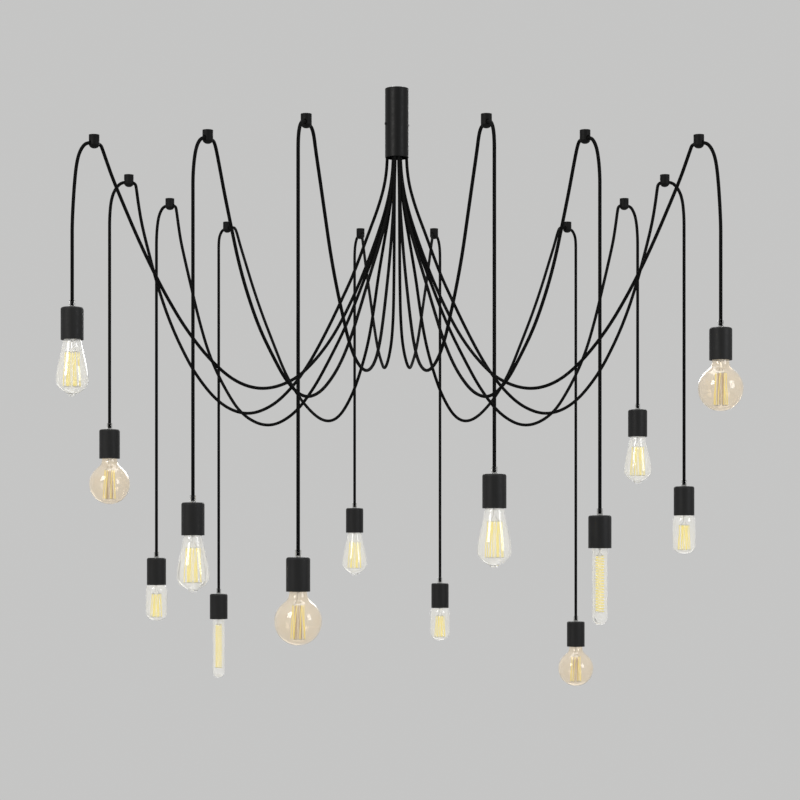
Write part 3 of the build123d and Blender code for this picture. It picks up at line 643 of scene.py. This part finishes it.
def glass_profile(size, wall):
    """The line of a bulb's glass from the neck's top to its foot, drawn in by wall."""
    top_edge = 1.0
    straight_steps = 6
    half = size["wide_d"] / 2
    wide_r = half - wall
    foot_h = size["foot_h"] - wall
    top_r = neck_top_r - wall
    top_z = glass_top - wall
    neck = [(top_r, -casing_h + neck_rise)]
    neck += [(radius * half - wall, -casing_h - way * half) for radius, way in size["neck_shares"]]
    waist_z = neck[-1][1]
    foot_z = waist_z - size["straight"]
    shares = size["hollow_shares" if wall else "foot_shares"]
    foot = [(wide_r, foot_z)]
    foot += [(radius * wide_r, foot_z - way * foot_h) for radius, way in shares]
    profile = [(0, top_z), (top_r - top_edge, top_z), (top_r, top_z - top_edge), neck[0]]
    profile += curves(neck, steps=16)
    profile += [(wide_r, waist_z - size["straight"] * step / straight_steps)
                for step in range(1, straight_steps + 1)]
    profile += curves(foot, steps=20)
    profile[-1] = (0, foot[-1][1])
    return profile


def glass_mesh(kind, material):
    """Blown glass with a real wall."""
    mesh = bmesh.new()
    lathe(mesh, glass_profile(bulbs[kind], 0), steps=80)
    lathe(mesh, glass_profile(bulbs[kind], glass_wall), steps=80, inward=True)
    return solid(mesh, kind + "_glass", material)


def around(radius, turn, height):
    """A point in millimetres at a turn about Z."""
    return radius * math.cos(turn), radius * math.sin(turn), height


def stem(mesh, top, low):
    """Glass stem with a flare at the bulb's neck and a bead at each end of the filament."""
    bead_r = stem_r + stem_bead
    # (radius, way below the glass's top)
    flare = [(0, 1.0), (9.5, 1.0), (10.0, 1.5), (8.0, 4.0), (5.0, 10.0), (3.0, 17.0),
             (stem_r, 21.0)]
    profile = [(radius, glass_top - drop) for radius, drop in flare]
    profile += [(stem_r, top + 2.0), (bead_r, top + 1.0), (bead_r, top - 1.0), (stem_r, top - 2.0),
                (stem_r, low + 2.0), (bead_r, low + 1.0), (bead_r, low - 0.8), (stem_r, low - 1.4),
                (stem_r * 0.6, low - 1.8), (0, low - 1.9)]
    lathe(mesh, profile, steps=32)


def leads(mesh, top, reach):
    """Two lead wires from the stem's flare to the filament."""
    lead_r = 0.45
    for turn in (0.4, 0.4 + math.pi):
        wire(mesh, [around(6.0, turn, glass_top - 3.0), around(5.2, turn + 0.3, glass_top - 9.0),
                    around(3.9, turn + 0.8, -casing_h - 3.0),
                    around(4.4, turn + 0.9, (top - casing_h) / 2),
                    around(reach * 0.7, turn + 0.4, top + 3.0),
                    around(reach, turn, top)], lead_r, slot=1)


def supports(mesh, ends):
    """Support wires that spread from the stem at each end of the filament."""
    support_r = 0.25
    for number in range(strands):
        turn = math.tau * number / strands
        for height, reach, rise in ends:
            wire(mesh, [around(stem_r + 0.4, turn, height),
                        around(reach * 0.6, turn, height + rise * 0.8),
                        around(reach - 0.4, turn, height + rise * 0.5),
                        around(reach + 0.5, turn, height)], support_r, sides=5, slot=1)


def spiral(mesh, top, length, reach):
    """One coiled strand in an open spiral round the stem."""
    turns = 20
    steps = 400
    coil_r = 0.8
    coil_pitch = 1.6
    strand_r = 0.5
    line = [around(reach, math.tau * turns * step / steps, top - length * step / steps)
            for step in range(steps + 1)]
    wire(mesh, coiled(line, coil_r, coil_pitch), strand_r, sides=4, slot=2)


def cage(mesh, kind, top, low, top_reach, low_reach):
    """Coiled strands from end to end of the filament, every other one nearer to the stem; on a
    globe those inner ones take a darker copy of the filament, painted shade.
    """
    coil_r = 0.75
    coil_pitch = 1.2
    strand_r = 0.45
    inner_share = 0.5
    sway = 0.8 * math.tau / strands
    for number in range(strands):
        turn = math.tau * number / strands
        lean = sway if number % 2 else -sway
        depth = inner_share if number % 2 else 1.0
        line = [around(top_reach * depth, turn, top),
                around(top_reach * depth * 1.02, turn + lean * 0.5, (top * 2 + low) / 3),
                around(low_reach * depth * 0.96, turn + lean * 0.8, (top + low * 2) / 3),
                around(low_reach * depth, turn + lean, low)]
        # A globe's inner strands get the darker filament copy: painted shade.
        strand_shading_slot = 3 if kind == "globe" and number % 2 else 2
        wire(mesh, coiled(line, coil_r, coil_pitch), strand_r, sides=4, slot=strand_shading_slot)


def filament_mesh(kind):
    """Glass stem, lead and support wires and coiled filament of a bulb."""
    size = bulbs[kind]
    top = -casing_h - size["cage_top"]
    low = top - size["cage_length"]
    top_reach = size["cage_r"] * 0.9
    low_reach = size["cage_r"] * 1.1
    support_rise = 1.6
    spiral_gap = 0.5  # between the spiral and the supports' ends
    mesh = bmesh.new()
    stem(mesh, top, low)
    leads(mesh, top, top_reach)
    supports(mesh, ((top, top_reach, support_rise), (low, low_reach, -support_rise)))
    if kind == "long_tube":
        spiral(mesh, top, size["cage_length"], size["cage_r"] - spiral_gap)
    else:
        cage(mesh, kind, top, low, top_reach, low_reach)
    return solid(mesh, kind + "_filament", clear_bulb, lead_steel, filament_gold, filament_gold_shaded)


# Placing
def piece(name, data, place, body, slot, *nodes):
    """An object in its place, riding on a body in the stead of CAD nodes."""
    made = bpy.data.objects.new(name, data)
    made.location = place
    scene.collection.objects.link(made)
    bpy.context.view_layer.update()
    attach(made, body)
    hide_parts(*nodes)
    return made


def plan(side, point):
    """A place in plan of the left side, mirrored for the right one."""
    return Vector((side_sign[side] * point[0], point[1], 0))


def route_points(side, pair, lamp_drop):
    """Control points of the swag and of the drop, and the place of the casing's top face."""
    facts = pairs[pair]
    start = plan(side, facts["start"])
    hook = plan(side, facts["hook"])
    along = (hook - start).normalized()
    turn = math.radians(side_sign[side] * facts["bore_turn"])
    bore = Matrix.Rotation(turn, 3, "Z") @ along
    up = Vector((0, 0, 1))
    drawn = start + plan(side, (mouth_draw.get(pair, 0), 0))
    (way, height), *sag = facts["swag"]
    swag = [start + up * cord_top, drawn + along * way + up * height]
    swag += [start + along * way + up * height for way, height in sag]
    swag += [hook + bore * way + up * (bore_z + height) for way, height in facts["hook_bend"]]
    drop = [hook + bore * way + up * (bore_z + height) for way, height in facts["drop_bend"]]
    drop.append(drop[-1] - up * hook_run)
    lamp = drop[-1].copy()
    lamp.z = bore_z - lamp_drop
    drop.append(lamp + up * drop_seat)
    return swag, drop, lamp


def cord_piece(name, points, body, node):
    """A textile cord: one NURBS spline whose control points are the route's points."""
    data = bpy.data.curves.new(name, "CURVE")
    data.dimensions = "3D"
    data.resolution_u = 10
    data.bevel_depth = cord_d / 2
    data.bevel_resolution = 5
    data.use_fill_caps = True
    spline = data.splines.new("NURBS")
    spline.points.add(len(points) - 1)
    for control, point in zip(spline.points, points):
        control.co = (*point, 1)
    spline.order_u = 3
    spline.use_endpoint_u = True
    data.materials.append(cord_textile)
    made = piece(name, data, (0, 0, 0), body, "textile", node)
    return made


casing = casing_mesh()
grip = grip_mesh()
insert = insert_mesh()
cap = cap_mesh()
glass_of = {"globe": amber_bulb}
slot_of = {"globe": "amber_glass"}
glass = {kind: glass_mesh(kind, glass_of.get(kind, clear_bulb)) for kind in bulbs}
filament = {kind: filament_mesh(kind) for kind in bulbs}

for (side, pair), (lamp_drop, kind, swag_length, drop_length) in lamps.items():
    mark = f"{side}_{pair}"
    swag_points, drop_points, lamp_place = route_points(side, pair, lamp_drop)
    cord_piece("swag_" + mark, swag_points, "frame", f"swag_cords_{pair}")
    cord_piece("drop_" + mark, drop_points, "lamp_" + mark, "drop_cord_" + mark)
    holder = "lampholder_" + mark
    piece("casing_" + mark, casing, lamp_place, "lamp_" + mark, "charcoal_metal", holder)
    piece("grip_" + mark, grip, lamp_place, "lamp_" + mark, "clear_glass", holder)
    piece("insert_" + mark, insert, lamp_place, "lamp_" + mark, "black_plastic", holder)
    bulb = "bulb_" + mark
    glass_slot = slot_of.get(kind, "clear_glass")
    piece("glass_" + mark, glass[kind], lamp_place, bulb, glass_slot, bulb)
    piece("filament_" + mark, filament[kind], lamp_place, bulb, glass_slot, bulb)
    piece("cap_" + mark, cap, lamp_place, bulb, "zinc", bulb)

# Materials of the carried-over CAD nodes
carried = {
    "ceiling_plate": plated_zinc,
    "canopy_cover": canopy_black,
    "cover_screws": screw_black,
    "standoffs": plated_zinc,
    "cord_plate": moulded_black,
    "cord_plate_screws": plated_zinc,
    "terminal_block": terminal_white,
    "terminal_screws": plated_zinc,
    "core_wires": core_sheath,
    "hook_bodies": hook_black,
    "hook_clamp_screws": screw_black,
}
for node, material in carried.items():
    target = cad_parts[node]
    if not target.material_slots:
        target.data.materials.append(material)
    for held in target.material_slots:
        held.material = material

# Floor, far below the lamps: pale, and faded out round its edge
floor_z = -2.6
floor_r = 7.0
fade_start_share = 0.4
fade_end_share = 0.97
floor_mesh = bmesh.new()
lathe(floor_mesh, [(0, 0), (floor_r * fade_start_share / mm, 0), (floor_r / mm, 0)], steps=96)
floor_paint, floor_shader, floor_place = shader("floor_paint", roughness=0.9, specular=0.1)
two_tone(floor_paint, floor_shader, noise(floor_paint, floor_place, scale=3.0),
         dark=(0.53, 0.53, 0.525), light=(0.57, 0.57, 0.565))
floor_nodes, floor_links = floor_paint.node_tree.nodes, floor_paint.node_tree.links
distance = floor_nodes.new("ShaderNodeVectorMath")
distance.operation = "LENGTH"
floor_links.new(floor_place, distance.inputs[0])
fade = floor_nodes.new("ShaderNodeMapRange")
fade.interpolation_type = "SMOOTHSTEP"
fade.inputs["From Min"].default_value = floor_r * fade_start_share
fade.inputs["From Max"].default_value = floor_r * fade_end_share
floor_links.new(distance.outputs["Value"], fade.inputs["Value"])
see_through = floor_nodes.new("ShaderNodeBsdfTransparent")
blended = floor_nodes.new("ShaderNodeMixShader")
floor_links.new(fade.outputs["Result"], blended.inputs["Fac"])
floor_links.new(floor_shader.outputs["BSDF"], blended.inputs[1])
floor_links.new(see_through.outputs["BSDF"], blended.inputs[2])
floor_links.new(blended.outputs["Shader"], floor_nodes["Material Output"].inputs["Surface"])
floor = bpy.data.objects.new("floor", solid(floor_mesh, "floor", floor_paint))
floor.location = (0, 0, floor_z)
scene.collection.objects.link(floor)

# Pale background for the camera, glossy and transmitted rays, and a soft light for the rest
background_tone = (0.56, 0.56, 0.555, 1)
ambient_tone = (1.0, 1.0, 1.0, 1)
ambient_strength = 0.5
world = bpy.data.worlds.new("studio")
world.use_nodes = True
scene.world = world
sky_nodes, sky_links = world.node_tree.nodes, world.node_tree.links
ambient = sky_nodes["Background"]
ambient.inputs["Color"].default_value = ambient_tone
ambient.inputs["Strength"].default_value = ambient_strength
backdrop = sky_nodes.new("ShaderNodeBackground")
backdrop.inputs["Color"].default_value = background_tone
rays = sky_nodes.new("ShaderNodeLightPath")
seen = sky_nodes.new("ShaderNodeMath")
seen.operation = "MAXIMUM"
sky_links.new(rays.outputs["Is Camera Ray"], seen.inputs[0])
sky_links.new(rays.outputs["Is Glossy Ray"], seen.inputs[1])
passed = sky_nodes.new("ShaderNodeMath")
passed.operation = "MAXIMUM"
sky_links.new(seen.outputs["Value"], passed.inputs[0])
sky_links.new(rays.outputs["Is Transmission Ray"], passed.inputs[1])
either = sky_nodes.new("ShaderNodeMixShader")
sky_links.new(passed.outputs["Value"], either.inputs["Fac"])
sky_links.new(ambient.outputs["Background"], either.inputs[1])
sky_links.new(backdrop.outputs["Background"], either.inputs[2])
sky_links.new(either.outputs["Shader"], sky_nodes["World Output"].inputs["Surface"])

# Soft studio lights, aimed at the middle of the object
light_aim = Vector((0, 0, -0.75))
softboxes = {
    "key_light": dict(place=(-2.9, -3.4, 1.3), width=1.6, height=2.2, power=95,
                      colour=(1.0, 0.98, 0.95)),
    "fill_light": dict(place=(3.3, -2.6, 0.2), width=1.4, height=2.2, power=50,
                       colour=(0.95, 0.97, 1.0)),
    "top_light": dict(place=(0, 0.3, 2.6), width=2.6, height=2.6, power=60,
                      colour=(1.0, 1.0, 1.0)),
    "back_light": dict(place=(0.6, 3.9, 0.8), width=2.4, height=1.6, power=55,
                       colour=(1.0, 1.0, 1.0)),
}
for name, box in softboxes.items():
    light_data = bpy.data.lights.new(name, "AREA")
    light_data.shape = "RECTANGLE"
    light_data.size = box["width"]
    light_data.size_y = box["height"]
    light_data.energy = box["power"]
    light_data.color = box["colour"]
    light = bpy.data.objects.new(name, light_data)
    light.location = box["place"]
    light.rotation_mode = "QUATERNION"
    light.rotation_quaternion = (light_aim - light.location).to_track_quat("-Z", "Y")
    scene.collection.objects.link(light)

scene.view_settings.view_transform = "Standard"
